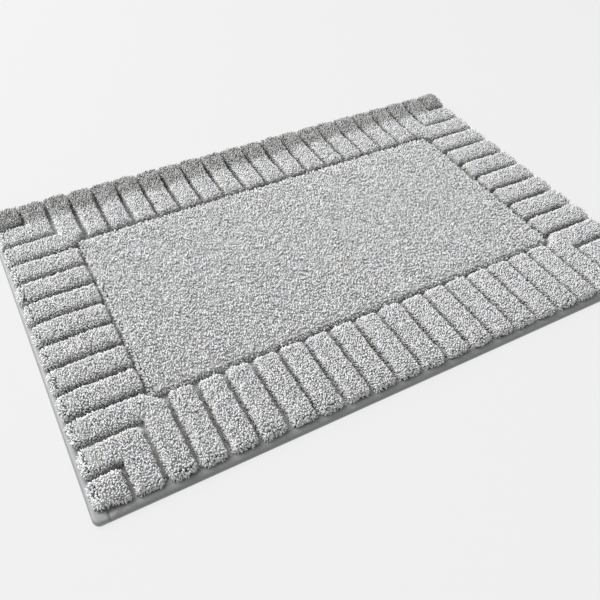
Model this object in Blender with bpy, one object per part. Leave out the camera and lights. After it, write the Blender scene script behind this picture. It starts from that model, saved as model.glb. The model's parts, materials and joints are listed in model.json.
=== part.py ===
"""Tufted bath mat with a field of pile, a border of carved ribs and a taped edge.

Metres, +Z up. The mat lies flat: the origin is the middle of its underside, +X runs along its
length and +Y along its width, from the front edge to the back edge.

From the floor up: an anti-slip coat, the woven base cloth that the pile is tufted into, and the
pile. A tape folded round the cloth's edge binds it on all four sides. The border of pile is
carved on a grid of cells: straight ribs along each side, and in each corner a square block
inside two nested angle ribs.
"""

import math

import bmesh
import bpy

# The mat's plan
MAT_LENGTH = 0.800
MAT_WIDTH = 0.500
FIELD_LENGTH = 0.592
FIELD_WIDTH = 0.278
LIP_WIDTH = 0.010
CELLS_LONG = 22
CELLS_SHORT = 13
CORNER_CELLS = 3

# Heights and thicknesses
COAT_THICKNESS = 0.0015
CLOTH_THICKNESS = 0.0020
TAPE_THICKNESS = 0.0015
TAPE_TOP = 0.0063
FIELD_TOP = 0.0165
RIB_TOP = 0.0200
GAP = 0.0003

# Shapes of the edges
GROOVE_WIDTH = 0.0045
WEB_HEIGHT = 0.0030
WEB_REACH = 0.0040
TAPE_UNDERLAP = 0.015
TAPE_ROLL_WIDTH = 0.0060
TAPE_ROLL_HEIGHT = 0.0048
TAPE_FOOT_ROUND = 0.0012
CLOTH_INSET = 0.0040
MAT_CORNER_RADIUS = 0.008
CLOTH_CORNER_RADIUS = 0.004
FIELD_CORNER_RADIUS = 0.005
PILE_ROUND = 0.0055
FIELD_ROUND = 0.0040
ELBOW_CUT = 0.0060
ROUND_SEGMENTS = 3
PILE_SEGMENTS = 3
ROLL_SEGMENTS = 5
CORNER_ANGLE = math.radians(60)
SMOOTH_ANGLE = math.radians(35)

# Worked out from the above
CLOTH_BOTTOM = COAT_THICKNESS + GAP
CLOTH_TOP = CLOTH_BOTTOM + CLOTH_THICKNESS
PILE_BOTTOM = CLOTH_TOP + GAP
PILE_LENGTH = MAT_LENGTH - 2 * LIP_WIDTH
PILE_WIDTH = MAT_WIDTH - 2 * LIP_WIDTH
PITCH_X = PILE_LENGTH / CELLS_LONG
PITCH_Y = PILE_WIDTH / CELLS_SHORT

# Colours and roughness of the materials
PILE_COLOUR = (0.560, 0.575, 0.575)
TAPE_COLOUR = (0.300, 0.320, 0.315)
CLOTH_COLOUR = (0.330, 0.345, 0.340)
COAT_COLOUR = (0.620, 0.630, 0.625)
PILE_ROUGHNESS = 0.95
TAPE_ROUGHNESS = 0.70
CLOTH_ROUGHNESS = 0.90
COAT_ROUGHNESS = 0.60


def clear_scene():
    for old in list(bpy.data.objects):
        bpy.data.objects.remove(old, do_unlink=True)


def soft_material(name, colour, roughness):
    """A non-metallic material of one colour."""
    material = bpy.data.materials.new(name)
    material.use_nodes = True
    shader = material.node_tree.nodes["Principled BSDF"]
    shader.inputs["Base Color"].default_value = (*colour, 1.0)
    shader.inputs["Roughness"].default_value = roughness
    shader.inputs["Metallic"].default_value = 0.0
    return material


def add_object(name, bm, material):
    """Turn a finished bmesh into a named object with one material."""
    bmesh.ops.recalc_face_normals(bm, faces=bm.faces)
    mesh = bpy.data.meshes.new(name)
    bm.to_mesh(mesh)
    bm.free()
    mesh.shade_smooth()
    mesh.set_sharp_from_angle(angle=SMOOTH_ANGLE)
    mesh.materials.append(material)
    piece = bpy.data.objects.new(name, mesh)
    bpy.context.scene.collection.objects.link(piece)
    return piece


def rectangle(x_low, x_high, y_low, y_high):
    """Corners of a rectangle, counter-clockwise."""
    return [(x_low, y_low), (x_high, y_low), (x_high, y_high), (x_low, y_high)]


def rounded_rectangle(length, width, radius):
    """Corners of a centred rectangle with an arc at each of them, counter-clockwise."""
    points = []
    for quarter, (side_x, side_y) in enumerate([(1, 1), (-1, 1), (-1, -1), (1, -1)]):
        centre_x = side_x * (length / 2 - radius)
        centre_y = side_y * (width / 2 - radius)
        for step in range(ROUND_SEGMENTS + 1):
            angle = math.pi / 2 * (quarter + step / ROUND_SEGMENTS)
            points.append((centre_x + radius * math.cos(angle), centre_y + radius * math.sin(angle)))
    return points


def prism(outline, bottom, top):
    """A bmesh of an outline extruded from one height to another, and its top face."""
    bm = bmesh.new()
    low = [bm.verts.new((x, y, bottom)) for x, y in outline]
    high = [bm.verts.new((x, y, top)) for x, y in outline]
    count = len(outline)
    for index in range(count):
        following = (index + 1) % count
        bm.faces.new((low[index], low[following], high[following], high[index]))
    bm.faces.new(list(reversed(low)))
    top_face = bm.faces.new(high)
    bm.normal_update()
    return bm, top_face


def sheet_piece(name, outline, bottom, top, material):
    """A flat layer with square edges."""
    bm, _ = prism(outline, bottom, top)
    return add_object(name, bm, material)


def is_upright_corner(edge):
    """True for a vertical edge where two walls meet at an outward corner, not along an arc."""
    is_vertical = edge.verts[0].co.xy == edge.verts[1].co.xy
    return is_vertical and edge.is_convex and edge.calc_face_angle() > CORNER_ANGLE


def pile_piece(name, outline, top, rounding, material):
    """A body of pile on the base cloth, with its upper rim and its upright corners rounded."""
    bm, top_face = prism(outline, PILE_BOTTOM, top)
    upright = [edge for edge in bm.edges if is_upright_corner(edge)]
    bmesh.ops.bevel(
        bm,
        geom=list(top_face.edges) + upright,
        offset=rounding,
        segments=PILE_SEGMENTS,
        profile=0.5,
        affect="EDGES",
        clamp_overlap=True,
    )
    return add_object(name, bm, material)


def cell_span(first, last, pitch):
    """Both sides of a run of cells, counted from the pile's edge, with half a groove off each."""
    low = first * pitch + (GROOVE_WIDTH / 2 if first > 0 else GAP)
    return low, last * pitch - GROOVE_WIDTH / 2


def side_rib(name, side_x, side_y, cell, material):
    """One straight rib: its length runs in from the edge that (side_x, side_y) points to."""
    if side_x:
        outer, inner = PILE_LENGTH / 2 - GAP, FIELD_LENGTH / 2 + GROOVE_WIDTH
        x_low, x_high = sorted((side_x * outer, side_x * inner))
        low, high = cell_span(cell, cell + 1, PITCH_Y)
        y_low, y_high = low - PILE_WIDTH / 2, high - PILE_WIDTH / 2
    else:
        outer, inner = PILE_WIDTH / 2 - GAP, FIELD_WIDTH / 2 + GROOVE_WIDTH
        y_low, y_high = sorted((side_y * outer, side_y * inner))
        low, high = cell_span(cell, cell + 1, PITCH_X)
        x_low, x_high = low - PILE_LENGTH / 2, high - PILE_LENGTH / 2
    return pile_piece(name, rectangle(x_low, x_high, y_low, y_high), RIB_TOP, PILE_ROUND, material)


def corner_outline(points, side_x, side_y):
    """Move an outline given as distances in from the pile's corner to one of the four corners."""
    placed = [
        (side_x * (PILE_LENGTH / 2 - across), side_y * (PILE_WIDTH / 2 - along))
        for across, along in points
    ]
    return placed if side_x * side_y > 0 else list(reversed(placed))


def corner_block(name, side_x, side_y, material):
    """The square block of pile in the very corner."""
    near_x, far_x = cell_span(0, 1, PITCH_X)
    near_y, far_y = cell_span(0, 1, PITCH_Y)
    points = rectangle(near_x, far_x, near_y, far_y)
    return pile_piece(name, corner_outline(points, side_x, side_y), RIB_TOP, PILE_ROUND, material)


def angle_outline(first, last):
    """One angle rib between two cell lines, as distances in from the pile's corner.

    The wider angle's elbow is cut off askew, to go round the corner of the field.
    """
    near_x, far_x = cell_span(first, last, PITCH_X)
    near_y, far_y = cell_span(first, last, PITCH_Y)
    field_x = (PILE_LENGTH - FIELD_LENGTH) / 2 - GROOVE_WIDTH
    field_y = (PILE_WIDTH - FIELD_WIDTH) / 2 - GROOVE_WIDTH
    if far_x > field_x:
        elbow = [(far_x, field_y - ELBOW_CUT), (field_x - ELBOW_CUT, far_y)]
    else:
        elbow = [(far_x, far_y)]
    return [(near_x, GAP), (far_x, GAP), *elbow, (GAP, far_y), (GAP, near_y), (near_x, near_y)]


def groove_web_outline():
    """The floor of the groove between the two angle ribs, reaching a little way under both."""
    near_x, far_x = 2 * PITCH_X - WEB_REACH, 2 * PITCH_X + WEB_REACH
    near_y, far_y = 2 * PITCH_Y - WEB_REACH, 2 * PITCH_Y + WEB_REACH
    end = GAP + PILE_ROUND
    return [(near_x, end), (far_x, end), (far_x, far_y), (end, far_y), (end, near_y), (near_x, near_y)]


def join_to(piece, others):
    """Unite the others with the piece into one body, and remove them."""
    for other in others:
        union = piece.modifiers.new("union", "BOOLEAN")
        union.operation = "UNION"
        union.solver = "EXACT"
        union.object = other
    evaluated = piece.evaluated_get(bpy.context.evaluated_depsgraph_get())
    joined = bpy.data.meshes.new_from_object(evaluated)
    piece.modifiers.clear()
    piece.data = joined
    for other in others:
        bpy.data.objects.remove(other, do_unlink=True)


def angle_ribs(name, side_x, side_y, material):
    """The two nested angle ribs of a corner, joined by the low pile on the floor of their groove."""
    outer_angle = corner_outline(angle_outline(2, 3), side_x, side_y)
    inner_angle = corner_outline(angle_outline(1, 2), side_x, side_y)
    web = corner_outline(groove_web_outline(), side_x, side_y)
    piece = pile_piece(name, outer_angle, RIB_TOP, PILE_ROUND, material)
    inner_piece = pile_piece("inner_angle", inner_angle, RIB_TOP, PILE_ROUND, material)
    web_piece = sheet_piece("groove_web", web, PILE_BOTTOM, PILE_BOTTOM + WEB_HEIGHT, material)
    join_to(piece, [inner_piece, web_piece])


def tape_section():
    """The folded tape's section, as distances in from the mat's edge and heights.

    The tape lies flat under the mat, rolls over the cloth's edge and slopes up to the pile.
    """
    web = CLOTH_INSET - GAP
    points = [(TAPE_UNDERLAP, 0.0), (TAPE_UNDERLAP, TAPE_THICKNESS), (web, TAPE_THICKNESS)]
    points += [(web, PILE_BOTTOM), (LIP_WIDTH, PILE_BOTTOM), (LIP_WIDTH, TAPE_TOP)]
    for step in range(ROLL_SEGMENTS + 1):
        angle = math.pi / 2 * step / ROLL_SEGMENTS
        inset = TAPE_ROLL_WIDTH * (1 - math.sin(angle))
        points.append((inset, TAPE_TOP - TAPE_ROLL_HEIGHT * (1 - math.cos(angle))))
    for step in range(ROUND_SEGMENTS + 1):
        angle = math.pi / 2 * step / ROUND_SEGMENTS
        inset = TAPE_FOOT_ROUND * (1 - math.cos(angle))
        points.append((inset, TAPE_FOOT_ROUND * (1 - math.sin(angle))))
    return points


def edge_binding(material):
    """The tape swept round the mat, with a rounded fold at each corner and a mitre inside it."""
    bm = bmesh.new()
    rings = []
    for quarter, (side_x, side_y) in enumerate([(1, 1), (-1, 1), (-1, -1), (1, -1)]):
        for step in range(ROUND_SEGMENTS + 1):
            angle = math.pi / 2 * (quarter + step / ROUND_SEGMENTS)
            ring = []
            for inset, height in tape_section():
                radius = max(MAT_CORNER_RADIUS - inset, 0.0)
                reach = max(MAT_CORNER_RADIUS, inset)
                x = side_x * (MAT_LENGTH / 2 - reach) + radius * math.cos(angle)
                y = side_y * (MAT_WIDTH / 2 - reach) + radius * math.sin(angle)
                ring.append(bm.verts.new((x, y, height)))
            rings.append(ring)
    for ring, following in zip(rings, rings[1:] + rings[:1]):
        count = len(ring)
        for index in range(count):
            above = (index + 1) % count
            bm.faces.new((ring[index], ring[above], following[above], following[index]))
    bmesh.ops.remove_doubles(bm, verts=bm.verts, dist=GAP / 10)
    return add_object("edge_binding", bm, material)


def base_layers(cloth_material, coat_material):
    """The woven cloth, gripped by the tape on all sides, and the anti-slip coat under it."""
    cloth_length, cloth_width = MAT_LENGTH - 2 * CLOTH_INSET, MAT_WIDTH - 2 * CLOTH_INSET
    cloth = rounded_rectangle(cloth_length, cloth_width, CLOTH_CORNER_RADIUS)
    sheet_piece("base_cloth", cloth, CLOTH_BOTTOM, CLOTH_TOP, cloth_material)
    coat_inset = TAPE_UNDERLAP + GAP
    coat = rounded_rectangle(MAT_LENGTH - 2 * coat_inset, MAT_WIDTH - 2 * coat_inset, CLOTH_CORNER_RADIUS)
    sheet_piece("anti_slip_coat", coat, 0.0, COAT_THICKNESS, coat_material)


def pile_field(material):
    outline = rounded_rectangle(FIELD_LENGTH, FIELD_WIDTH, FIELD_CORNER_RADIUS)
    pile_piece("centre_field", outline, FIELD_TOP, FIELD_ROUND, material)


def pile_border(material):
    """All the ribs: a row on each side, and a block and its angle ribs in each corner."""
    for number, cell in enumerate(range(CORNER_CELLS, CELLS_LONG - CORNER_CELLS), start=1):
        side_rib(f"front_rib_{number:02d}", 0, -1, cell, material)
        side_rib(f"back_rib_{number:02d}", 0, 1, cell, material)
    for number, cell in enumerate(range(CORNER_CELLS, CELLS_SHORT - CORNER_CELLS), start=1):
        side_rib(f"left_rib_{number}", -1, 0, cell, material)
        side_rib(f"right_rib_{number}", 1, 0, cell, material)
    for row, side_y in (("front", -1), ("back", 1)):
        for column, side_x in (("left", -1), ("right", 1)):
            corner_block(f"corner_block_{row}_{column}", side_x, side_y, material)
            angle_ribs(f"angle_ribs_{row}_{column}", side_x, side_y, material)


def main():
    clear_scene()
    pile = soft_material("tufted_pile", PILE_COLOUR, PILE_ROUGHNESS)
    tape = soft_material("binding_tape", TAPE_COLOUR, TAPE_ROUGHNESS)
    cloth = soft_material("base_cloth", CLOTH_COLOUR, CLOTH_ROUGHNESS)
    coat = soft_material("anti_slip_coat", COAT_COLOUR, COAT_ROUGHNESS)
    base_layers(cloth, coat)
    edge_binding(tape)
    pile_field(pile)
    pile_border(pile)


main()
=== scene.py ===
"""Looks of the tufted bath mat: yarn pile, folded edge tape, woven base and anti-slip coat.

Every pile body of the frame is covered with separate yarn ends. They stand on the body's own
surface, so the ribs, the grooves and the field keep the places and sizes that the frame gives.
"""

import json
import math
from typing import NamedTuple

import bmesh
import bpy
import numpy as np
from mathutils import Matrix, Vector
from mathutils.kdtree import KDTree

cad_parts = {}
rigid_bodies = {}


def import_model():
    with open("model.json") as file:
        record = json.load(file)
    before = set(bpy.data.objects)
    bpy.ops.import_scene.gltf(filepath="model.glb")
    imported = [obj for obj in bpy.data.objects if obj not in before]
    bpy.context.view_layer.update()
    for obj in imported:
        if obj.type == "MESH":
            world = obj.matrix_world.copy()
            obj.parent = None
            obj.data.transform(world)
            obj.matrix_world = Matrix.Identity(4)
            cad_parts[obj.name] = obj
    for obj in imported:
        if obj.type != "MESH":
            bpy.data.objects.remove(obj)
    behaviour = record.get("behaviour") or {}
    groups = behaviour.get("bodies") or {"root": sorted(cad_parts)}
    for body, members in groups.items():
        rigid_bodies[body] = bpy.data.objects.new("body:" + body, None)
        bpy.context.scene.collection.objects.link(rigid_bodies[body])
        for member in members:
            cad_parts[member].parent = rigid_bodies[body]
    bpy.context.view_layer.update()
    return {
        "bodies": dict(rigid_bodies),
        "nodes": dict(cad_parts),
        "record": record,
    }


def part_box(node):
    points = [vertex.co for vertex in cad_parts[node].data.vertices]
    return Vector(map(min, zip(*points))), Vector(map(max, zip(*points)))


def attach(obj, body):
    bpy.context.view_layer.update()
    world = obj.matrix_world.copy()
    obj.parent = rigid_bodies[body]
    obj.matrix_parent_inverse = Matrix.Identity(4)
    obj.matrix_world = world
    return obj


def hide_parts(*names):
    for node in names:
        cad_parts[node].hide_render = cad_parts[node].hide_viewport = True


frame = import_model()


class PileKind(NamedTuple):
    """What differs between the pile of the field and the pile of the ribs.

    uneven: how far the heights of the yarn ends spread at random.
    relief: how high the tufts stand out of the pile.
    mottle: how much paler the tufts' tops are painted than the gaps beside them, as painted light and
    painted shade.
    painted_groove_shade: how bright the walls stay low down in a groove under the painted shade there.
    """

    uneven: float
    relief: float
    painted_tuft_shading: float
    painted_groove_shade: float


# Camera
CAMERA_PLACE = Vector((-0.3924, -0.5210, 0.5968))
CAMERA_AIM = Vector((-0.1394, -0.0429, 0.0))
CAMERA_ROLL = math.radians(1.689)
CAMERA_LENS = 37.36
CAMERA_SHIFT_X = 0.10

# Light: a wide key and a brighter sky at the back left, and a pale floor that glows a little
KEY_PLACE = Vector((-1.43, 1.43, 1.82))
KEY_SIZE = 2.0
KEY_POWER = 90.0
SKY_STRENGTH = 0.545
SKY_TILT = (-0.27, 0.38, 0.0)
BACKDROP_STRENGTH = 0.84
FLOOR_COLOUR = (0.06, 0.06, 0.06)
FLOOR_GLOW = 0.80
FLOOR_SIZE = 12.0
FLOOR_GAP = 0.0002

# A ripple is a sum of waves of different lengths, and its peaks pass its mean height by a factor
WAVE_STRETCH = (0.7, 1.5)
RIPPLE_PEAK = 1.6

# Points nearer than this are one point, and a vector shorter than the last has no direction
SHELL_MERGE = 1e-6
TAPE_MERGE = 1e-5
NO_LENGTH = 1e-12

# Where yarn ends stand: a gap apart, and not on the outer walls below the top of the tape
YARN_GAP = 0.0019
CANDIDATES = 6
BARE_EDGE = 0.95
BARE_HEIGHT = 0.0006
FIELD_PATCHES = 6
PILE_SEED = 41

# Shape of one yarn end: a root, rings along a curve and a rounded tip
YARN_RADIUS = 0.00096
YARN_THICKNESS = (0.82, 1.15)
YARN_LUMPS = (0.86, 1.14)
YARN_ROOT = 0.0070
YARN_SIDES = 4
YARN_STEPS = (0.36, 0.66, 0.90)
YARN_GIRTHS = (0.90, 1.06, 0.86)
YARN_STEM = 0.0012
YARN_BEND = (0.0006, 0.0020)
YARN_DROOP = 0.42
YARN_TIP = 0.45
YARN_SINK = 0.0008

# The dense mass of yarn under the yarn ends, painted dark as painted shade between the roots
CORE_INSET = 0.0042
CORE_FLOOR = 0.0001
CORE_TONE = 0.3
CORE_PAINTED_SHADE = 0.90

# Yarn ends stand out from the surface, lean together in clumps, and each leans a little by itself
OUTWARD = 0.85
UPWARD = 0.18
CLUMP_SIZE = 0.009
CLUMP_SEEDS = (21, 22)
CLUMP_LEAN = 0.22
LOOSE_LEAN = 0.16
CLUMP_CURL = 0.7
LOOSE_CURL = 0.8

# The pile's top is uneven at three sizes: wide swells, fine waves and single tufts
SWELL_HEIGHT = 0.0005
SWELL_SIZE = 0.030
SWELL_SEED = 3
FINE_SIZE = 0.0065
FINE_SEED = 4
FINE_WAVES = 9
# Painted light and shade: where the fine waves stand higher the yarn is painted paler, and darker
# where they dip
FINE_PAINTED_SHADING = 0.08
TUFT_SIZE = 0.0021
TUFT_SEED = 5
TUFT_WAVES = 14
FIELD = PileKind(uneven=0.0014, relief=0.0014, painted_tuft_shading=0.30, painted_groove_shade=0.80)
RIB = PileKind(uneven=0.0008, relief=0.0005, painted_tuft_shading=0.10, painted_groove_shade=0.66)

# Tones: the field's yarn ends differ in tone at random and most are pale; the darker ones sit lower,
# and their dark tone is also painted shade for the sunk ends
FIELD_TONES = (0.98, 0.27)
FIELD_SUNK = 0.0014
RIB_TONES = (0.72, 0.12)

# The pile falls towards each body's own walls, and the walls slope out to the groove's floor
STEEP = 0.5
CROWN_DROP = 0.0021
CROWN_REACH = 0.011
SHOULDER_DROP = 0.0042
SHOULDER_REACH = 0.019
WALL_SINK = 0.0010
WALL_SPREAD = 0.0008
# Painted shade low down on the walls of grooves fades in over this range of depth
GROOVE_FADE = (0.05, 0.55)

# How far the pile leans out over the tape on the low and the high side of X and of Y
OVERHANGS = ((0.0064, 0.0044), (0.0028, 0.0056))
OVERHANG_REACH = 0.016
LEAN_DROOP = 0.35

# Each yarn end leans out by a share of that: a common share, a wave and a loose part of its own
OVERHANG_SHARE = 0.75
OVERHANG_WAVE = 0.24
OVERHANG_WAVE_SIZE = 0.012
OVERHANG_SEED = 11
OVERHANG_LOOSE = 0.35

# Round the front left corner the pile draws back from the front edge
CORNER_TUCK = 1.9
CORNER_REACH = 0.050

# How far the field's edge leans over its groove on the low and the high side of X and of Y
FIELD_LEANS = ((0.0022, 0.0010), (-0.0004, 0.0024))
FIELD_LEAN_REACH = 0.008

# The nap along the back edge stands up and is arched over each rib, and a band along the back edge is
# darkened with painted shade
NAP_WIDTH = 0.046
BACK_SHADE_BLEND = 0.012
BACK_PAINTED_SHADE = 0.66
NAP_LIFT = 0.0050
NAP_ROOT_LIFT = 0.6
NAP_ARCH = 0.42
NAP_CALM = 0.85
BACK_SHADE_WAVE = 0.004
BACK_SHADE_WAVE_SIZE = 0.05
BACK_SHADE_SEED = 9
BACK_SHADE_SCATTER = 0.002

# The outer ends of the back and the right ribs spread sideways over their grooves
BACK_CELLS = 22
RIGHT_CELLS = 13
BACK_SPREAD = 0.0034
RIGHT_SPREAD = 0.0028
RIGHT_WIDTH = 0.030
END_MARGIN = 0.008
TIP_WIDTH = 0.016
TIP_MARGIN = 0.004
BACK_TIP_SPREAD = 0.0036
RIGHT_TIP_SPREAD = 0.0018
RIGHT_TIP_ROUND = 0.0016
RIGHT_TIP_DROOP = 0.0014

# Edge tape: its section
TAPE_FOOT = 0.0015
TAPE_FOOT_ROUND = 0.0012
TAPE_FOOT_CUT = 0.3
TAPE_ROLL_WIDTH = 0.0060
TAPE_ROLL_POWER = 0.85
TAPE_ROLL_STEPS = 10
TAPE_TUCK = 0.0003
TAPE_FOLD_POINTS = 5
TAPE_FOOT_FREEDOM = (0.35, 0.0, 0.0)

# Edge tape: its run round the mat, the flap folded over at each corner, and its puckers
TAPE_STATION = 0.0015
TAPE_CORNER = 0.008
TAPE_CORNER_STEPS = 12
FLAP_REACH = 0.017
FLAP_ROLL_WIDTH = 0.0070
FLAP_ROLL_POWER = 0.50
FLAP_RISE = 0.0010
FLAP_EDGE = 0.0012
FLAP_FADE = 0.028
CREASE_DEPTH = 0.0012
CREASE_WIDTH = 0.0009
PUCKER_SPACING = 0.045
PUCKER_WIDTHS = (0.0012, 0.0040)
PUCKER_HEIGHTS = (-0.0005, 0.0004)
PUCKER_PIVOT = 0.004
PUCKER_TWIST = 900.0
TAPE_WAVE = 0.00022
TAPE_WAVE_SIZES = (0.028, 0.009)
TAPE_WAVE_SEEDS = (5, 6)
TAPE_SMALL_WAVE = 0.4
TAPE_SEED = 7

# Cloth and anti-slip coat
SHEET_CELL = 0.008
CLOTH_WAVE = 0.00010
CLOTH_WAVE_SIZE = 0.04
CLOTH_SEED = 31
COAT_WAVE = 0.00005
COAT_WAVE_SIZE = 0.02
COAT_SEED = 33
DOT_PITCH = 0.010
DOT_STAGGER = 0.25
DOT_RADIUS = 0.0026
DOT_HEIGHT = 0.0006
DOT_TOP = 1.2
DOT_RINGS = ((1.0, 1.2), (0.85, 0.35), (0.45, 0.06))
DOT_SIDES = 8

body = next(iter(frame["bodies"]))
tape_low, tape_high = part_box("edge_binding")
cloth_low, cloth_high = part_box("base_cloth")
coat_low, coat_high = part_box("anti_slip_coat")
field_low, field_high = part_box("centre_field")
pile_nodes = [part["node"] for part in frame["record"]["subparts"] if part["material_slot"] == "pile"]
pile_low = np.min([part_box(node)[0] for node in pile_nodes], axis=0)
pile_high = np.max([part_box(node)[1] for node in pile_nodes], axis=0)


# ---------------------------------------------------------------- small helpers


def unit(vectors):
    """Each row of an array at length one."""
    length = np.linalg.norm(vectors, axis=-1, keepdims=True)
    return vectors / np.maximum(length, NO_LENGTH)


def smooth_step(values, start, end):
    """0 before start, 1 after end, and a smooth rise between them."""
    share = np.clip((np.asarray(values) - start) / (end - start), 0, 1)
    return share * share * (3 - 2 * share)


def ripple(x, y, size, seed, waves=5):
    """A smooth random height from about -1 to 1 that changes over distances near size."""
    rng = np.random.default_rng(seed)
    total = np.zeros_like(x)
    for _ in range(waves):
        heading = rng.uniform(0, math.tau)
        stretch = rng.uniform(*WAVE_STRETCH)
        phase = rng.uniform(0, math.tau)
        along = (x * math.cos(heading) + y * math.sin(heading)) / size
        total += np.sin(along * stretch * math.tau / 2 + phase)
    return total / math.sqrt(waves / 2) / RIPPLE_PEAK


def tree_of(points):
    """A search tree of points."""
    tree = KDTree(len(points))
    for index, spot in enumerate(points):
        tree.insert(spot, index)
    tree.balance()
    return tree


def spindle_faces(count, rings, sides):
    """Triangles and quads of closed shapes that each have a first point, rings and a last point."""
    step = np.arange(sides)
    beside = (step + 1) % sides
    tip = 1 + rings * sides
    last = tip - sides
    triangles = np.concatenate(
        [
            np.stack([np.zeros_like(step), 1 + step, 1 + beside], 1),
            np.stack([last + beside, last + step, np.full_like(step, tip)], 1),
        ]
    )
    quads = []
    for ring in range(rings - 1):
        low, high = 1 + ring * sides, 1 + (ring + 1) * sides
        quads.append(np.stack([low + beside, low + step, high + step, high + beside], 1))
    offsets = (np.arange(count) * (tip + 1))[:, None, None]
    triangles = (triangles[None] + offsets).reshape(-1, 3)
    quads = (np.concatenate(quads)[None] + offsets).reshape(-1, 4)
    return triangles, quads


def make_mesh(name, points, faces_by_size, attributes=()):
    """A mesh object from an array of points and arrays of faces, one array for each face size."""
    mesh = bpy.data.meshes.new(name)
    mesh.vertices.add(len(points))
    mesh.vertices.foreach_set("co", np.asarray(points, np.float32).ravel())
    corners = np.concatenate([faces.ravel() for faces in faces_by_size])
    sizes = np.concatenate([np.full(len(faces), faces.shape[1]) for faces in faces_by_size])
    mesh.loops.add(len(corners))
    mesh.loops.foreach_set("vertex_index", corners.astype(np.int32))
    mesh.polygons.add(len(sizes))
    starts = np.concatenate([[0], np.cumsum(sizes)[:-1]])
    mesh.polygons.foreach_set("loop_start", starts.astype(np.int32))
    for label, values in attributes:
        layer = mesh.attributes.new(label, "FLOAT", "POINT")
        layer.data.foreach_set("value", np.asarray(values, np.float32))
    mesh.update(calc_edges=True)
    mesh.validate()
    mesh.shade_smooth()
    piece = bpy.data.objects.new(name, mesh)
    bpy.context.scene.collection.objects.link(piece)
    return piece


def dress(piece, material, slot, *nodes):
    """Give a finished piece its material, hang it on the body, and hide the frame's parts that it
    replaces.
    """
    piece.data.materials.append(material)
    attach(piece, body)
    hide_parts(*nodes)


# ---------------------------------------------------------------- materials


class Shader:
    """A material's node tree with a few short ways to add nodes."""

    def __init__(self, name):
        self.material = bpy.data.materials.new(name)
        self.material.use_nodes = True
        self.tree = self.material.node_tree
        self.surface = self.tree.nodes["Principled BSDF"]

    def node(self, kind, **settings):
        made = self.tree.nodes.new(kind)
        for key, value in settings.items():
            setattr(made, key, value)
        return made

    def link(self, source, target):
        self.tree.links.new(source, target)

    def attribute(self, name):
        """A value that the mesh stores for each point."""
        return self.node("ShaderNodeAttribute", attribute_name=name).outputs["Fac"]

    def noise(self, scale, detail):
        """Noise in the object's own metres; scale is in cycles per metre."""
        place = self.node("ShaderNodeTexCoord")
        noise = self.node("ShaderNodeTexNoise")
        noise.inputs["Scale"].default_value = scale
        noise.inputs["Detail"].default_value = detail
        self.link(place.outputs["Object"], noise.inputs["Vector"])
        return noise.outputs["Fac"]

    def ramp(self, source, stops):
        """Colours along a value, from (position, colour) stops."""
        ramp = self.node("ShaderNodeValToRGB")
        while len(ramp.color_ramp.elements) < len(stops):
            ramp.color_ramp.elements.new(0.5)
        for element, (position, colour) in zip(ramp.color_ramp.elements, stops):
            element.position = position
            element.color = (*colour, 1.0)
        self.link(source, ramp.inputs["Fac"])
        return ramp.outputs["Color"]

    def multiply(self, first, second):
        """One colour darkened by another."""
        mix = self.node("ShaderNodeMix", data_type="RGBA", blend_type="MULTIPLY")
        mix.inputs["Factor"].default_value = 1.0
        self.link(first, mix.inputs["A"])
        self.link(second, mix.inputs["B"])
        return mix.outputs["Result"]

    def colour(self, source):
        self.link(source, self.surface.inputs["Base Color"])

    def bump(self, height, strength, distance):
        bump = self.node("ShaderNodeBump")
        bump.inputs["Strength"].default_value = strength
        bump.inputs["Distance"].default_value = distance
        self.link(height, bump.inputs["Height"])
        self.link(bump.outputs["Normal"], self.surface.inputs["Normal"])

    def glow(self, strength):
        self.surface.inputs["Emission Color"].default_value = (1.0, 1.0, 1.0, 1.0)
        self.surface.inputs["Emission Strength"].default_value = strength

    def finish(self, roughness, sheen=0.0, sheen_roughness=0.5, specular=0.3):
        self.surface.inputs["Roughness"].default_value = roughness
        self.surface.inputs["Sheen Weight"].default_value = sheen
        self.surface.inputs["Sheen Roughness"].default_value = sheen_roughness
        self.surface.inputs["Specular IOR Level"].default_value = specular
        return self.material


def pile_material():
    """Matt yarn: each end has its own tone, roots are painted darker than tips as painted shade deep
    in the pile, tints drift slowly, and painted shade darkens the back band and the grooves.
    """
    shader = Shader("pile_yarn")
    # Painted shade deep in the pile: each yarn end is painted darker at its root than at its tip
    depth = shader.ramp(
        shader.attribute("yarn_depth"),
        [(0.0, (0.60, 0.615, 0.612)), (0.45, (0.82, 0.823, 0.828)), (0.9, (0.935, 0.935, 0.948))],
    )
    tone = shader.ramp(
        shader.attribute("yarn_tone"),
        [(0.0, (0.60, 0.60, 0.60)), (1.0, (1.0, 1.0, 1.0))],
    )
    tint = shader.ramp(
        shader.noise(scale=55.0, detail=2.0),
        [(0.35, (0.985, 0.99, 1.0)), (0.65, (1.0, 0.998, 0.980))],
    )
    # Painted shade: black to white by the yarn_painted_shade value, with a faint tint at the back
    # band's level
    shade = shader.ramp(
        shader.attribute("yarn_painted_shade"),
        [
            (0.0, (0.0, 0.0, 0.0)),
            (BACK_PAINTED_SHADE, (BACK_PAINTED_SHADE, BACK_PAINTED_SHADE * 1.01, BACK_PAINTED_SHADE * 0.98)),
            (1.0, (1.0, 1.0, 1.0)),
        ],
    )
    toned = shader.multiply(depth, tone)
    tinted = shader.multiply(toned, tint)
    shader.colour(shader.multiply(tinted, shade))
    shader.bump(shader.noise(scale=1400.0, detail=2.0), strength=0.5, distance=0.0003)
    return shader.finish(roughness=0.95, sheen=0.08, sheen_roughness=0.5, specular=0.05)


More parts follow.
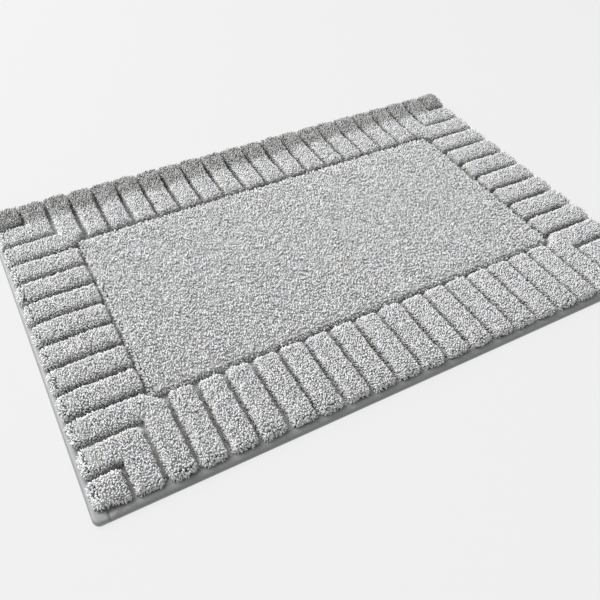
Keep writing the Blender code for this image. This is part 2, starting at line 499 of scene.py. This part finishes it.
def tape_material():
    """Fine woven tape with a soft satin face, which looks pale where it catches the light."""
    shader = Shader("binding_tape")
    base = shader.ramp(
        shader.noise(scale=45.0, detail=4.0),
        [(0.3, (0.218, 0.229, 0.226)), (0.7, (0.244, 0.256, 0.253))],
    )
    threads = shader.ramp(
        shader.noise(scale=2400.0, detail=1.0),
        [(0.35, (0.94, 0.94, 0.94)), (0.65, (1.0, 1.0, 1.0))],
    )
    shader.colour(shader.multiply(base, threads))
    shader.bump(shader.noise(scale=1600.0, detail=2.0), strength=0.25, distance=0.0003)
    return shader.finish(roughness=0.48, sheen=0.52, sheen_roughness=0.35, specular=0.8)


def cloth_material():
    """Plain weave: two sets of bars at right angles, in a mid grey."""
    shader = Shader("base_weave")
    place = shader.node("ShaderNodeTexCoord").outputs["Object"]
    waves = []
    for direction in ("X", "Y"):
        wave = shader.node("ShaderNodeTexWave", wave_type="BANDS", bands_direction=direction)
        wave.inputs["Scale"].default_value = 110.0
        wave.inputs["Distortion"].default_value = 0.6
        shader.link(place, wave.inputs["Vector"])
        waves.append(wave.outputs["Fac"])
    weave = shader.node("ShaderNodeMath", operation="MULTIPLY")
    shader.link(waves[0], weave.inputs[0])
    shader.link(waves[1], weave.inputs[1])
    height = weave.outputs["Value"]
    shader.colour(shader.ramp(height, [(0.0, (0.34, 0.345, 0.34)), (0.8, (0.50, 0.505, 0.50))]))
    shader.bump(height, strength=0.6, distance=0.0005)
    return shader.finish(roughness=0.9, sheen=0.1)


def coat_material():
    """Pale latex with a faint mottling."""
    shader = Shader("anti_slip_latex")
    mottled = shader.ramp(
        shader.noise(scale=60.0, detail=4.0),
        [(0.3, (0.58, 0.59, 0.58)), (0.7, (0.68, 0.69, 0.68))],
    )
    shader.colour(mottled)
    shader.bump(shader.noise(scale=700.0, detail=2.0), strength=0.3, distance=0.0003)
    return shader.finish(roughness=0.55, specular=0.4)


def floor_material():
    """A plain pale sweep that lights itself a little, so that the mat's shadow stays faint."""
    shader = Shader("pale_floor")
    shader.surface.inputs["Base Color"].default_value = (*FLOOR_COLOUR, 1.0)
    shader.glow(FLOOR_GLOW)
    return shader.finish(roughness=0.9, specular=0.0)


# ---------------------------------------------------------------- where the pile's parts are


def edge_nearness(place, low, high, reach):
    """How near each place is to the left, right, front and back limits, from 0 to 1."""
    before = place[:, :2] - np.array(low[:2])
    after = np.array(high[:2]) - place[:, :2]
    distances = np.abs(np.stack([before[:, 0], after[:, 0], before[:, 1], after[:, 1]], axis=1))
    return np.clip(1 - distances / reach, 0, 1)


def rim_nearness(place):
    """How near each place is to the nearest outer limit of the pile, from 0 to 1."""
    return edge_nearness(place, pile_low, pile_high, OVERHANG_REACH).max(axis=1)


def nap_zone(place):
    """0 over most of the mat, rising to 1 at the ends of the back ribs."""
    return smooth_step(place[:, 1], pile_high[1] - NAP_WIDTH, pile_high[1] - END_MARGIN)


def right_zone(place):
    """0 over most of the mat, rising to 1 at the ends of the right ribs."""
    return smooth_step(place[:, 0], pile_high[0] - RIGHT_WIDTH, pile_high[0] - END_MARGIN)


def height_share(place):
    """0 at the height of the tape and 1 at the top of the pile."""
    return np.clip((place[:, 2] - tape_high.z) / (pile_high[2] - tape_high.z), 0, 1)


def across_rib(place, axis, cells):
    """-1 to 1 across each rib of a row that runs along an axis."""
    cell = (pile_high[axis] - pile_low[axis]) / cells
    return ((place[:, axis] - pile_low[axis]) / cell) % 1 * 2 - 1


def in_groove(place, normal):
    """Where painted shade falls in grooves: 0 on top of a body and on the mat's outer walls, and 1 low
    down on the walls of grooves.
    """
    height = place[:, 2]
    share = (height - height.min()) / (height.max() - height.min())
    wall = 1 - np.clip(normal[:, 2], 0, 1)
    return wall * smooth_step(1 - share, *GROOVE_FADE) * (1 - rim_nearness(place))


# ---------------------------------------------------------------- how the pile stands


def leaning(near, leans, amount):
    """The sideways push of yarn ends near the four limits, drooping a little as they lean."""
    (left, right), (front, back) = leans
    push = np.zeros((len(near), 3))
    push[:, 0] = (near[:, 1] * right - near[:, 0] * left) * amount
    push[:, 1] = (near[:, 3] * back - near[:, 2] * front) * amount
    push[:, 2] = -LEAN_DROOP * np.abs(push[:, :2]).max(axis=1)
    return push


def overhang(place, rng):
    """How far each yarn end leans out over the tape, and droops onto it."""
    wave = ripple(place[:, 0], place[:, 1], OVERHANG_WAVE_SIZE, OVERHANG_SEED)
    loose = rng.uniform(-OVERHANG_LOOSE, OVERHANG_LOOSE, len(place))
    amount = OVERHANG_SHARE + OVERHANG_WAVE * wave + loose * (1 - NAP_CALM * nap_zone(place))
    near = edge_nearness(place, pile_low, pile_high, OVERHANG_REACH)
    from_corner = np.hypot(place[:, 0] - pile_low[0], place[:, 1] - pile_low[1])
    near[:, 2] *= 1 - CORNER_TUCK * (1 - smooth_step(from_corner, 0, CORNER_REACH))
    return leaning(near, OVERHANGS, amount)


def nap_push(place):
    """How the nap stands up along the back and spreads sideways at the back and the right."""
    along_x = across_rib(place, 0, BACK_CELLS)
    along_y = across_rib(place, 1, RIGHT_CELLS)
    back, right = nap_zone(place), right_zone(place)
    from_limit = np.array(pile_high[:2]) - place[:, :2]
    right_tip, back_tip = smooth_step(-from_limit, -TIP_WIDTH, -TIP_MARGIN).T
    push = np.zeros_like(place)
    push[:, 0] = (BACK_SPREAD * back + BACK_TIP_SPREAD * back_tip) * along_x * np.abs(along_x)
    push[:, 1] = (RIGHT_SPREAD * right + RIGHT_TIP_SPREAD * right_tip) * along_y * np.abs(along_y)
    push[:, 0] -= RIGHT_TIP_ROUND * right_tip * along_y**2
    push[:, 2] = NAP_LIFT * back * (1 - NAP_ARCH * along_x**2)
    push[:, 2] -= RIGHT_TIP_DROOP * right_tip * along_y**2
    return push * height_share(place)[:, None]


def crown(place, normal):
    """How far each place sinks so that the body is crowned: most at the top of its walls."""
    level = place * (1.0, 1.0, 0.0)
    walls = tree_of(level[normal[:, 2] < STEEP])
    distance = np.array([walls.find(spot)[2] for spot in level])
    nearness = 1 - np.clip(distance / CROWN_REACH, 0, 1)
    return CROWN_DROP * nearness**2 * height_share(place) * (1 - nap_zone(place) * NAP_CALM)


# ---------------------------------------------------------------- pile


def node_shell(node):
    """A pile body's merged surface: points, point normals and triangles."""
    bm = bmesh.new()
    bm.from_mesh(frame["nodes"][node].data)
    bmesh.ops.remove_doubles(bm, verts=bm.verts, dist=SHELL_MERGE)
    bmesh.ops.triangulate(bm, faces=bm.faces)
    bm.normal_update()
    points = np.array([vert.co for vert in bm.verts])
    normals = np.array([vert.normal for vert in bm.verts])
    triangles = np.array([[vert.index for vert in face.verts] for face in bm.faces])
    bm.free()
    return points, normals, triangles


def scatter(points, normals, triangles, rng):
    """Places on the shell, above its floor, that keep a yarn's gap apart, and their normals."""
    a, b, c = (points[triangles[:, corner]] for corner in range(3))
    cross = np.cross(b - a, c - a)
    area = np.linalg.norm(cross, axis=1) / 2
    area[cross[:, 2] < -area] = 0.0
    count = int(area.sum() / YARN_GAP**2 * CANDIDATES)
    pick = rng.choice(len(area), count, p=area / area.sum())
    u, v = rng.random((2, count, 1))
    folded = u + v > 1
    u, v = np.where(folded, 1 - u, u), np.where(folded, 1 - v, v)
    place = a[pick] + u * (b - a)[pick] + v * (c - a)[pick]
    na, nb, nc = (normals[triangles[pick, corner]] for corner in range(3))
    normal = unit(na + u * (nb - na) + v * (nc - na))
    shown = (rim_nearness(place) <= BARE_EDGE) | (place[:, 2] > tape_high.z + BARE_HEIGHT)
    place, normal = place[shown], normal[shown]
    tree = tree_of(place)
    taken = np.zeros(len(place), bool)
    kept = []
    for index, spot in enumerate(place):
        if taken[index]:
            continue
        kept.append(index)
        for _, neighbour, _ in tree.find_range(spot, YARN_GAP):
            taken[neighbour] = True
    return place[kept], normal[kept]


def yarn_directions(place, normal, rng):
    """The way each yarn end stands, and the way its tip curls."""
    x, y = place[:, 0], place[:, 1]
    clump = [ripple(x, y, CLUMP_SIZE, seed) for seed in CLUMP_SEEDS]
    clump = np.stack([*clump, np.zeros(len(x))], axis=1)
    lean = clump * CLUMP_LEAN + rng.normal(0, LOOSE_LEAN, place.shape)
    rise = unit(normal * OUTWARD + np.array([0.0, 0.0, UPWARD]) + lean)
    curl = clump * CLUMP_CURL + rng.normal(0, LOOSE_CURL, place.shape)
    return rise, unit(np.cross(rise, np.cross(curl, rise)))


def yarn_tops(place, normal, swell, kind, rng):
    """Where each yarn end's stem stops, and its tone."""
    wall = 1 - np.clip(normal[:, 2], 0, 1)
    sunk_wall = height_share(place) * (WALL_SINK + WALL_SPREAD) - WALL_SPREAD
    sink = YARN_SINK + wall * (sunk_wall * (1 - nap_zone(place)))
    uneven = kind.uneven * (1 - nap_zone(place) * NAP_CALM) * rng.uniform(-1, 1, len(place))
    top = place + normal * (swell - sink + uneven)[:, None] + overhang(place, rng)
    top[:, 2] -= crown(place, normal)
    if kind is RIB:
        return top, rng.normal(*RIB_TONES, len(place))
    near = edge_nearness(place, field_low, field_high, FIELD_LEAN_REACH)
    top += leaning(near, FIELD_LEANS, 1.0)
    front = edge_nearness(place, field_low, field_high, SHOULDER_REACH)[:, 2]
    top[:, 2] -= SHOULDER_DROP * front**2 * height_share(place)
    palest, spread = FIELD_TONES
    # Random tone with a long dark tail; the dark tail is also painted shade for the ends that sit
    # lower
    tone = palest - rng.exponential(spread, len(place))
    top[:, 2] -= FIELD_SUNK * np.clip(palest - tone, 0, 1)
    return top, tone


def yarn_points(place, top, rise, aside, rng):
    """The root, the rings and the tip of each yarn end, none of them through the base cloth."""
    count = len(place)
    bend = rng.uniform(*YARN_BEND, (count, 1))
    push = nap_push(place)
    root = top - rise * YARN_ROOT + push * NAP_ROOT_LIFT
    root[:, 2] = np.maximum(root[:, 2], pile_low[2])
    top = top + push
    control = top + rise * YARN_STEM
    tip = top + aside * bend - rise * bend * YARN_DROOP
    girth = YARN_RADIUS * rng.uniform(*YARN_THICKNESS, (count, 1, 1))
    phase = rng.uniform(0, math.tau, (count, 1))
    angles = phase + np.arange(YARN_SIDES) * math.tau / YARN_SIDES
    hinge = np.cross(rise, aside)
    rings = []
    for step, share in zip(YARN_STEPS, YARN_GIRTHS):
        centre = (1 - step) ** 2 * root + 2 * step * (1 - step) * control + step**2 * tip
        heading = unit(2 * (1 - step) * (control - root) + 2 * step * (tip - control))
        across = unit(np.cross(heading, hinge))
        around = np.cos(angles)[:, :, None] * across[:, None, :]
        around = around + np.sin(angles)[:, :, None] * hinge[:, None, :]
        lumpy = rng.uniform(*YARN_LUMPS, (count, YARN_SIDES, 1))
        rings.append(centre[:, None, :] + around * girth * share * lumpy)
    apex = tip + unit(tip - control) * girth[:, 0] * YARN_TIP
    points = np.concatenate([root[:, None], *rings, apex[:, None]], axis=1)
    points[:, :, 2] = np.maximum(points[:, :, 2], (cloth_low.z + cloth_high.z) / 2)
    return points


def yarn_painted_shade(place, normal, kind, rng):
    """How bright each yarn end is painted: painted shade in a band along the back edge and low down in
    grooves.
    """
    x, y = place[:, 0], place[:, 1]
    wave = BACK_SHADE_WAVE * ripple(x, np.zeros_like(x), BACK_SHADE_WAVE_SIZE, BACK_SHADE_SEED)
    start = pile_high[1] - NAP_WIDTH + wave
    # The mask of the back band's painted shade
    nap = smooth_step(y + rng.normal(0, BACK_SHADE_SCATTER, len(y)), start, start + BACK_SHADE_BLEND)
    return (1 - (1 - BACK_PAINTED_SHADE) * nap) * (1 - (1 - kind.painted_groove_shade) * in_groove(place, normal))


def yarn_arrays(place, normal, kind, rng):
    """Points, and each point's depth, tone and shade, of one yarn end at each place."""
    x, y = place[:, 0], place[:, 1]
    rise, aside = yarn_directions(place, normal, rng)
    fine = ripple(x, y, FINE_SIZE, FINE_SEED, FINE_WAVES)
    tuft = ripple(x, y, TUFT_SIZE, TUFT_SEED, TUFT_WAVES)
    swell = SWELL_HEIGHT * ripple(x, y, SWELL_SIZE, SWELL_SEED) + SWELL_HEIGHT * fine
    swell = swell + kind.relief * tuft
    top, tone = yarn_tops(place, normal, swell, kind, rng)
    points = yarn_points(place, top, rise, aside, rng)
    depth = np.tile([0.0, *np.repeat(YARN_STEPS, YARN_SIDES), 1.0], len(place))
    # Painted light and shade: ends on the tops of fine waves and tufts are painted paler, ends in the
    # hollows darker
    tone = np.clip(tone + FINE_PAINTED_SHADING * fine + kind.painted_tuft_shading * tuft, 0, 1)
    shade = yarn_painted_shade(place, normal, kind, rng)
    size = points.shape[1]
    return points, (depth, np.repeat(tone, size), np.repeat(shade, size))


def yarn_map(count):
    """A flat map for each yarn end in a cell of its own: along the end one way, round it the other."""
    columns = math.ceil(math.sqrt(count))
    index = np.arange(count)
    corner = np.stack([index % columns, index // columns], axis=1)
    sides = np.arange(YARN_SIDES) / YARN_SIDES
    rings = [np.stack([sides, np.full(YARN_SIDES, step)], axis=1) for step in YARN_STEPS]
    inside = np.concatenate([[[0.5, 0.0]], *rings, [[0.5, 1.0]]])
    margin = 0.1
    cells = corner[:, None, :] + margin + (1 - 2 * margin) * inside[None]
    return cells.reshape(-1, 2) / columns


def add_map(piece, places):
    """Store a flat map, given for each vertex, as the UV layer that the export looks for."""
    mesh = piece.data
    corners = np.zeros(len(mesh.loops), np.int32)
    mesh.loops.foreach_get("vertex_index", corners)
    layer = mesh.uv_layers.new(name="OFBake")
    layer.data.foreach_set("uv", places[corners].astype(np.float32).ravel())


def pile_piece(name, node, place, normal, core, material, rng):
    """One body of pile: its yarn ends, and the dense mass of yarn between their roots, painted dark as
    painted shade.
    """
    kind = FIELD if node == "centre_field" else RIB
    points, shades = yarn_arrays(place, normal, kind, rng)
    triangles, quads = spindle_faces(len(points), len(YARN_STEPS), YARN_SIDES)
    flat = points.reshape(-1, 3)
    core_points, core_triangles = core
    every_point = np.concatenate([flat, core_points])
    every_triangle = np.concatenate([triangles, core_triangles + len(flat)])
    # The core is painted dark as painted shade: the root colour, a low tone and its own shade value
    core_shades = (0.0, CORE_TONE, CORE_PAINTED_SHADE)
    labels = ("yarn_depth", "yarn_tone", "yarn_painted_shade")
    attributes = [
        (label, np.concatenate([values, np.full(len(core_points), plain)]))
        for label, values, plain in zip(labels, shades, core_shades)
    ]
    piece = make_mesh(name, every_point, (every_triangle, quads), attributes)
    add_map(piece, np.concatenate([yarn_map(len(points)), np.zeros((len(core_points), 2))]))
    dress(piece, material, "pile", node)


def core_of(points, normals, triangles):
    """The body's shell drawn in under the yarn, and kept above the cloth."""
    inner = points - normals * CORE_INSET
    inner[:, 2] = np.maximum(inner[:, 2], points[:, 2].min() + CORE_FLOOR)
    return inner, triangles


def build_pile():
    """Every body of pile. The field is one body in patches, and its first patch holds its core."""
    material = pile_material()
    no_core = (np.zeros((0, 3)), np.zeros((0, 3), int))
    for number, node in enumerate(pile_nodes):
        rng = np.random.default_rng([PILE_SEED, number])
        shell = node_shell(node)
        place, normal = scatter(*shell, rng)
        core = core_of(*shell)
        if node != "centre_field":
            pile_piece(f"{node}_pile", node, place, normal, core, material, rng)
            continue
        span = (field_high.x - field_low.x) / FIELD_PATCHES
        patch = np.clip((place[:, 0] - field_low.x) // span, 0, FIELD_PATCHES - 1)
        for index in range(FIELD_PATCHES):
            chosen = patch == index
            patch_core = core if index == 0 else no_core
            name = f"{node}_pile_{index + 1}"
            pile_piece(name, node, place[chosen], normal[chosen], patch_core, material, rng)


# ---------------------------------------------------------------- edge tape


def tape_section(roll_width, power):
    """Insets from the mat's edge and heights, once round the folded tape.

    The roll over the edge is a quarter ellipse; a power below 1 makes it squarer.
    """
    under = tape_high.x - coat_high.x - TAPE_TUCK
    web = tape_high.x - cloth_high.x - TAPE_TUCK
    lip = tape_high.x - pile_high[0] - TAPE_TUCK
    roof, floor = cloth_high.z + TAPE_TUCK, cloth_low.z - TAPE_TUCK
    points = [(under, 0.0), (under, floor), (web, floor), (web, roof), (lip, roof), (lip, tape_high.z)]
    for step in range(TAPE_ROLL_STEPS + 1):
        angle = math.pi / 2 * step / TAPE_ROLL_STEPS
        inset = roll_width * (1 - math.sin(angle) ** power)
        points.append((inset, TAPE_FOOT + (tape_high.z - TAPE_FOOT) * math.cos(angle) ** power))
    points.append((TAPE_FOOT_ROUND * TAPE_FOOT_CUT, TAPE_FOOT_ROUND * TAPE_FOOT_CUT))
    points.append((TAPE_FOOT_ROUND, 0.0))
    return np.array(points)


def tape_freedom(size):
    """How freely each point of the section moves: not in the folds or the foot, fully on the face."""
    freedom = np.ones(size)
    freedom[:TAPE_FOLD_POINTS] = 0.0
    freedom[-len(TAPE_FOOT_FREEDOM) :] = TAPE_FOOT_FREEDOM
    return freedom


def tape_stations():
    """Places round the mat's edge: side of X, side of Y, turn within the corner, and run along."""
    stations = []
    for quarter, (side_x, side_y) in enumerate([(1, 1), (-1, 1), (-1, -1), (1, -1)]):
        for step in range(TAPE_CORNER_STEPS + 1):
            angle = math.pi / 2 * (quarter + step / TAPE_CORNER_STEPS)
            stations.append((side_x, side_y, angle, None))
        along_x = quarter % 2 == 0
        half = (tape_high.x if along_x else tape_high.y) - TAPE_CORNER
        start = half * (side_x if along_x else side_y)
        count = round(2 * half / TAPE_STATION)
        for step in range(1, count):
            run = start * (1 - 2 * step / count)
            stations.append((side_x, side_y, math.pi / 2 * (quarter + 1), run))
    return stations


def tape_ring(section, side_x, side_y, angle, run):
    """One section of the tape set in place; inside the corner it stops at the mitre."""
    inset, height = section[:, 0], section[:, 1]
    radius = np.maximum(TAPE_CORNER - inset, 0.0)
    reach = np.maximum(TAPE_CORNER, inset)
    x = side_x * (tape_high.x - reach) + radius * math.cos(angle)
    y = side_y * (tape_high.y - reach) + radius * math.sin(angle)
    if run is not None and on_long_side(angle):
        x = np.clip(run, -(tape_high.x - reach), tape_high.x - reach)
    elif run is not None:
        y = np.clip(run, -(tape_high.y - reach), tape_high.y - reach)
    return np.stack([x, y, height], axis=1)


def on_long_side(angle):
    """True where the tape faces the front or the back."""
    return abs(math.sin(angle)) > 0.5


def flap_share(angle, run):
    """1 on the folded flap that wraps each corner onto the long sides, 0 past its crease."""
    if run is None:
        return 1.0
    if on_long_side(angle):
        return 1.0 - float(smooth_step(tape_high.x - abs(run), FLAP_REACH - FLAP_EDGE, FLAP_REACH))
    return 1.0 - float(smooth_step(tape_high.y - abs(run), TAPE_CORNER, FLAP_FADE))


def tape_puckers(rng):
    """Random puckers on each side of the mat, as (place along it, width, height).

    Sides are numbered by the quarter turn that they face: right, back, left, front.
    """
    puckers = {}
    for side, length in ((1, tape_high.x), (0, tape_high.y), (3, tape_high.x), (2, tape_high.y)):
        places = rng.uniform(-length, length, int(2 * length / PUCKER_SPACING))
        puckers[side] = [
            (place, rng.uniform(*PUCKER_WIDTHS), rng.uniform(*PUCKER_HEIGHTS)) for place in places
        ]
    return puckers


def tape_relief(inset, angle, run, puckers):
    """Height added along the sides by the puckers and by the crease at the end of each flap."""
    relief = np.zeros_like(inset)
    side = round(angle / (math.pi / 2)) % 4
    for place, width, height in puckers[side]:
        slant = place + (inset - PUCKER_PIVOT) * math.sin(place * PUCKER_TWIST)
        relief += height * np.exp(-(((run - slant) / width) ** 2))
    if on_long_side(angle):
        from_crease = tape_high.x - abs(run) - FLAP_REACH
        relief -= CREASE_DEPTH * math.exp(-((from_crease / CREASE_WIDTH) ** 2))
    return relief


def tape_wave(ring):
    """Small waves over the tape's face: long ones, and shorter and lower ones on top of them."""
    x, y = ring[:, 0], ring[:, 1]
    long, short = (ripple(x, y, *wave) for wave in zip(TAPE_WAVE_SIZES, TAPE_WAVE_SEEDS))
    return TAPE_WAVE * (long + TAPE_SMALL_WAVE * short)


def build_tape():
    puckers = tape_puckers(np.random.default_rng(TAPE_SEED))
    plain = tape_section(TAPE_ROLL_WIDTH, TAPE_ROLL_POWER)
    pillow = tape_section(FLAP_ROLL_WIDTH, FLAP_ROLL_POWER)
    freedom = tape_freedom(len(plain))
    rings = []
    for side_x, side_y, angle, run in tape_stations():
        flap = flap_share(angle, run)
        section = plain + (pillow - plain) * flap
        section[:, 1] += freedom * FLAP_RISE * flap
        if run is not None:
            section[:, 1] += freedom * tape_relief(section[:, 0], angle, run, puckers)
        ring = tape_ring(section, side_x, side_y, angle, run)
        ring[:, 2] += freedom * tape_wave(ring)
        rings.append(ring)
    tape = make_mesh("edge_tape", np.concatenate(rings), (hoop_quads(len(rings), len(plain)),))
    clean(tape)
    dress(tape, tape_material(), "binding_tape", "edge_binding")


def hoop_quads(count, size):
    """Quads of a closed hoop of rings, each a closed loop of as many points."""
    ring, step = np.meshgrid(np.arange(count), np.arange(size), indexing="ij")
    here, after = ring * size, (ring + 1) % count * size
    beside = (step + 1) % size
    corners = [here + step, here + beside, after + beside, after + step]
    return np.stack(corners, axis=-1).reshape(-1, 4)


def clean(piece):
    """Merge the points that fall together, at mitres, and turn all faces out."""
    bm = bmesh.new()
    bm.from_mesh(piece.data)
    bmesh.ops.remove_doubles(bm, verts=bm.verts, dist=TAPE_MERGE)
    bmesh.ops.recalc_face_normals(bm, faces=bm.faces)
    bm.to_mesh(piece.data)
    bm.free()


# ---------------------------------------------------------------- cloth and coat


def slab(low, high, depth_of):
    """A closed flat sheet between two corners, on a grid; depth_of gives its top and bottom."""
    wide, deep = (max(2, round((high[axis] - low[axis]) / SHEET_CELL)) + 1 for axis in (0, 1))
    xs = np.linspace(low[0], high[0], wide)
    ys = np.linspace(low[1], high[1], deep)
    x, y = (grid.ravel() for grid in np.meshgrid(xs, ys))
    top, bottom = depth_of(x, y)
    points = np.concatenate([np.stack([x, y, top], 1), np.stack([x, y, bottom], 1)])
    column, row = (grid.ravel() for grid in np.meshgrid(np.arange(wide - 1), np.arange(deep - 1)))
    near = row * wide + column
    upper = np.stack([near, near + 1, near + 1 + wide, near + wide], 1)
    lower = upper[:, ::-1] + len(x)
    right, back = wide - 1, (deep - 1) * wide
    rim = np.concatenate(
        [
            np.arange(right),
            np.arange(deep - 1) * wide + right,
            back + np.arange(right, 0, -1),
            np.arange(deep - 1, 0, -1) * wide,
        ]
    )
    after = np.roll(rim, -1)
    walls = np.stack([rim + len(x), after + len(x), after, rim], 1)
    return points, np.concatenate([upper, lower, walls])


def build_cloth():
    def depth_of(x, y):
        wave = CLOTH_WAVE * ripple(x, y, CLOTH_WAVE_SIZE, CLOTH_SEED)
        return cloth_high.z + wave, cloth_low.z + wave

    points, quads = slab(cloth_low, cloth_high, depth_of)
    cloth = make_mesh("woven_cloth", points, (quads,))
    dress(cloth, cloth_material(), "base_cloth", "base_cloth")


def dot_arrays():
    """Low closed domes in staggered rows on the underside of the coat, each point down."""
    rows = int((coat_high.y - coat_low.y) / DOT_PITCH) - 1
    columns = int((coat_high.x - coat_low.x) / DOT_PITCH) - 1
    row, column = (grid.ravel() for grid in np.meshgrid(np.arange(rows), np.arange(columns)))
    x = (column - (columns - 1) / 2 + DOT_STAGGER * (-1.0) ** row) * DOT_PITCH
    y = (row - (rows - 1) / 2) * DOT_PITCH
    centre = np.stack([x, y, np.full(len(x), coat_low.z)], 1)
    turns = np.arange(DOT_SIDES) * math.tau / DOT_SIDES
    dome = [[0.0, 0.0, DOT_HEIGHT * DOT_TOP]]
    for share, level in DOT_RINGS:
        radius, height = DOT_RADIUS * share, DOT_HEIGHT * level
        dome += [[radius * math.cos(turn), radius * math.sin(turn), height] for turn in turns]
    dome.append([0.0, 0.0, 0.0])
    points = (centre[:, None, :] + np.array(dome)[None]).reshape(-1, 3)
    return points, *spindle_faces(len(x), len(DOT_RINGS), DOT_SIDES)


def build_coat():
    def depth_of(x, y):
        wave = COAT_WAVE * ripple(x, y, COAT_WAVE_SIZE, COAT_SEED)
        return np.full_like(x, coat_high.z), coat_low.z + DOT_HEIGHT + wave

    points, quads = slab(coat_low, coat_high, depth_of)
    dots, dot_triangles, dot_quads = dot_arrays()
    every_quad = np.concatenate([quads, dot_quads + len(points)])
    faces = (dot_triangles + len(points), every_quad)
    coat = make_mesh("latex_coat", np.concatenate([points, dots]), faces)
    dress(coat, coat_material(), "anti_slip_coat", "anti_slip_coat")


# ---------------------------------------------------------------- stage


def build_stage():
    """The floor, the sky and the key, which lights the mat but stays out of every picture."""
    bpy.ops.mesh.primitive_plane_add(size=FLOOR_SIZE, location=(0, 0, tape_low.z - FLOOR_GAP))
    floor = bpy.context.active_object
    floor.name = "floor"
    floor.data.materials.append(floor_material())
    build_sky()
    lamp = bpy.data.lights.new("key", "AREA")
    lamp.size = KEY_SIZE
    lamp.energy = KEY_POWER
    key = bpy.data.objects.new("key", lamp)
    key.location = KEY_PLACE
    key.visible_camera = False
    key.rotation_mode = "QUATERNION"
    key.rotation_quaternion = (-KEY_PLACE).to_track_quat("-Z", "Y")
    bpy.context.scene.collection.objects.link(key)
    bpy.context.scene.view_settings.view_transform = "Standard"


def build_sky():
    """A pale backdrop, and a soft sky that is brighter towards the back left than the front right."""
    world = bpy.data.worlds.new("pale_room")
    bpy.context.scene.world = world
    world.use_nodes = True
    tree = world.node_tree
    sky = tree.nodes["Background"]
    direction = tree.nodes.new("ShaderNodeTexCoord")
    lean = tree.nodes.new("ShaderNodeVectorMath")
    lean.operation = "DOT_PRODUCT"
    lean.inputs[1].default_value = SKY_TILT
    light = tree.nodes.new("ShaderNodeMath")
    light.operation = "MULTIPLY_ADD"
    light.inputs[1].default_value = SKY_STRENGTH
    light.inputs[2].default_value = SKY_STRENGTH
    rays = tree.nodes.new("ShaderNodeLightPath")
    seen = tree.nodes.new("ShaderNodeMix")
    seen.inputs["B"].default_value = BACKDROP_STRENGTH
    tree.links.new(direction.outputs["Generated"], lean.inputs[0])
    tree.links.new(lean.outputs["Value"], light.inputs[0])
    tree.links.new(light.outputs["Value"], seen.inputs["A"])
    tree.links.new(rays.outputs["Is Camera Ray"], seen.inputs["Factor"])
    tree.links.new(seen.outputs["Result"], sky.inputs["Strength"])
    sky.inputs["Color"].default_value = (1.0, 1.0, 1.0, 1.0)


def build_camera():
    data = bpy.data.cameras.new("camera")
    data.lens = CAMERA_LENS
    data.shift_x = CAMERA_SHIFT_X
    camera = bpy.data.objects.new("camera", data)
    look = (CAMERA_AIM - CAMERA_PLACE).to_track_quat("-Z", "Y").to_matrix().to_4x4()
    roll = Matrix.Rotation(CAMERA_ROLL, 4, "Z")
    camera.matrix_world = Matrix.Translation(CAMERA_PLACE) @ look @ roll
    bpy.context.scene.collection.objects.link(camera)
    bpy.context.scene.camera = camera


build_camera()
build_stage()
build_pile()
build_tape()
build_cloth()
build_coat()
